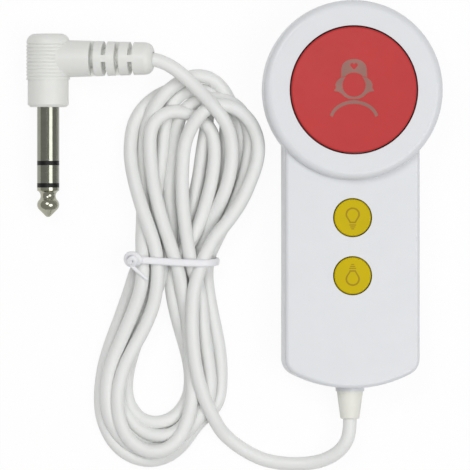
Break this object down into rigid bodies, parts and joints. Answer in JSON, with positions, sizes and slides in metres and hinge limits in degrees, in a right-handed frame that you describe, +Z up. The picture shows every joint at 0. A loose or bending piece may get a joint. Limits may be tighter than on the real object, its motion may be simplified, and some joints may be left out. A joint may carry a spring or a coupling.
{
  "type": "nurse call pear switch",
  "caption": "Hand-held pear switch with a round head and large dished call button, two light buttons, a tied lead and a right-angle jack plug.",
  "frame": {"origin": "bottom centre of the handset's own box, on the surface its back lies on, lead and plug left out", "axes": "+Z up out of the button face, +Y along the handset from the lead end to the round head, +X to the right seen from the face, away from the lead and plug"},
  "size_m": [0.118, 0.1341, 0.0206],
  "materials": {
    "housing_white": "fine satin",
    "call_red": "satin",
    "light_yellow": "satin",
    "board_green": "solder resist",
    "switch_black": "satin",
    "plunger_black": "satin",
    "spring_steel": "drawn wire",
    "header_cream": "satin",
    "resistor_black": "glazed",
    "screw_steel": "zinc plated",
    "clamp_white": "satin",
    "core_insulation": "smooth",
    "cord_white": "smooth satin",
    "relief_white": "smooth satin",
    "tie_white": "smooth",
    "plug_white": "fine satin",
    "jack_nickel": "polished nickel",
    "insulator_black": "smooth"
  },
  "bodies": {
    "handset": {"front_cover": "housing_white", "rear_cover": "housing_white", "circuit_board": "board_green", "call_switch": "switch_black", "light_on_switch": "switch_black", "light_off_switch": "switch_black", "call_spring": "spring_steel", "lead_header": "header_cream", "coding_resistors": "resistor_black", "board_screws": "screw_steel", "housing_screws": "screw_steel", "clamp_screws": "screw_steel", "cable_clamp": "clamp_white", "lead_tail": "cord_white", "cord_cores": "core_insulation", "strain_relief": "relief_white", "cord_hank": "cord_white", "hank_tie": "tie_white", "handset_lead": "cord_white", "plug_lead": "cord_white", "plug_body": "plug_white", "plug_sleeve": "jack_nickel", "plug_insulator_1": "insulator_black", "plug_ring": "jack_nickel", "plug_insulator_2": "insulator_black", "plug_tip": "jack_nickel"},
    "call_button": {"call_button": "call_red"},
    "call_plunger": {"call_plunger": "plunger_black"},
    "light_on_button": {"light_on_button": "light_yellow"},
    "light_on_plunger": {"light_on_plunger": "plunger_black"},
    "light_off_button": {"light_off_button": "light_yellow"},
    "light_off_plunger": {"light_off_plunger": "plunger_black"}
  },
  "joints": [
    {"name": "call_button_press", "type": "slide", "parent": "handset", "child": "call_button", "axis": [0, 0, -1], "range_m": [0, 0.0006], "stiffness_N_per_m": 4000, "deforming": ["call_spring"]},
    {"name": "call_plunger_press", "type": "slide", "parent": "handset", "child": "call_plunger", "axis": [0, 0, -1], "range_m": [0, 0.0006]},
    {"name": "light_on_button_press", "type": "slide", "parent": "handset", "child": "light_on_button", "axis": [0, 0, -1], "range_m": [0, 0.0004], "stiffness_N_per_m": 2500},
    {"name": "light_on_plunger_press", "type": "slide", "parent": "handset", "child": "light_on_plunger", "axis": [0, 0, -1], "range_m": [0, 0.0004]},
    {"name": "light_off_button_press", "type": "slide", "parent": "handset", "child": "light_off_button", "axis": [0, 0, -1], "range_m": [0, 0.0004], "stiffness_N_per_m": 2500},
    {"name": "light_off_plunger_press", "type": "slide", "parent": "handset", "child": "light_off_plunger", "axis": [0, 0, -1], "range_m": [0, 0.0004]}
  ],
  "couplings": [
    {"joint": "call_plunger_press", "follows": "call_button_press", "ratio": 1},
    {"joint": "light_on_plunger_press", "follows": "light_on_button_press", "ratio": 1},
    {"joint": "light_off_plunger_press", "follows": "light_off_button_press", "ratio": 1}
  ]
}
